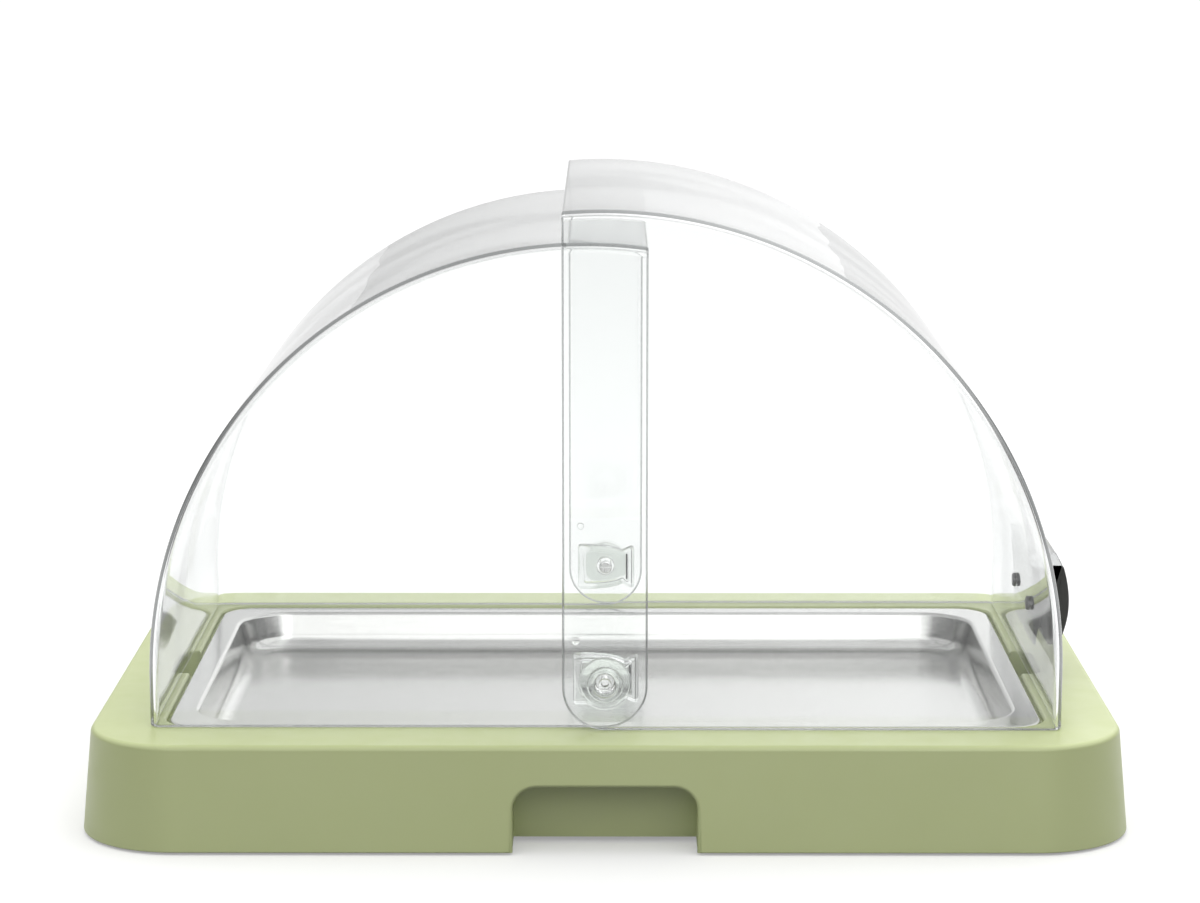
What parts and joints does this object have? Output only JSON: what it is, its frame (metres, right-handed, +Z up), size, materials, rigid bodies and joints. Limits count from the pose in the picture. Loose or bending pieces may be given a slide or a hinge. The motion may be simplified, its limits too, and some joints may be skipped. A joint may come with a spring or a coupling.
{
  "type": "chilled roll-top display",
  "caption": "Countertop cooled display: moulded base with cold packs under a steel tray, and a clear two-part cover whose outer half rolls open over the inner half.",
  "frame": {"origin": "middle of the footprint, on the table under the feet", "axes": "+X towards the handle, along the long side; +Y away from the viewer of the long front side; +Z up"},
  "size_m": [0.632, 0.434, 0.3773],
  "materials": {
    "green_plastic": "satin pale sage green moulded plastic, fine even grain",
    "well_plastic": "satin pale green moulded plastic, as the base",
    "tray_steel": "bright pressed stainless steel, softly brushed floor, polished wall",
    "clear_plastic": "clear polycarbonate, polished",
    "black_plastic": "satin black moulded plastic",
    "pack_plastic": "translucent pale blue blow-moulded plastic",
    "cap_plastic": "blue moulded plastic",
    "foot_rubber": "dark grey rubber",
    "screw_steel": "bright zinc-plated steel"
  },
  "bodies": {
    "base": {"base_housing": "green_plastic", "cooling_well": "well_plastic", "cold_pack_left": "pack_plastic", "cold_pack_right": "pack_plastic", "pack_cap_left": "cap_plastic", "pack_cap_right": "cap_plastic", "foot_1": "foot_rubber", "foot_2": "foot_rubber", "foot_3": "foot_rubber", "foot_4": "foot_rubber", "well_screw_1": "screw_steel", "well_screw_2": "screw_steel", "well_screw_3": "screw_steel", "well_screw_4": "screw_steel", "well_screw_5": "screw_steel", "well_screw_6": "screw_steel", "well_screw_7": "screw_steel", "well_screw_8": "screw_steel", "well_screw_9": "screw_steel", "well_screw_10": "screw_steel"},
    "tray": {"tray": "tray_steel"},
    "dome": {"inner_cover": "clear_plastic", "pivot_button_front": "clear_plastic", "pivot_washer_front": "clear_plastic", "pivot_clip_front": "clear_plastic", "pivot_screw_front": "screw_steel", "pivot_button_back": "clear_plastic", "pivot_washer_back": "clear_plastic", "pivot_clip_back": "clear_plastic", "pivot_screw_back": "screw_steel"},
    "roll_cover": {"outer_cover": "clear_plastic", "handle_grip": "black_plastic", "handle_pad": "clear_plastic", "handle_screw_1": "screw_steel", "handle_screw_2": "screw_steel"}
  },
  "joints": [
    {"name": "cover_roll", "type": "hinge", "parent": "dome", "child": "roll_cover", "pos_m": [0, 0, 0.0943], "axis": [0, -1, 0], "range_deg": [0, 90]},
    {"name": "cover_lift", "type": "slide", "parent": "base", "child": "dome", "axis": [0, 0, 1], "range_m": [0, 0.2]},
    {"name": "tray_lift", "type": "slide", "parent": "base", "child": "tray", "axis": [0, 0, 1], "range_m": [0, 0.012]}
  ]
}
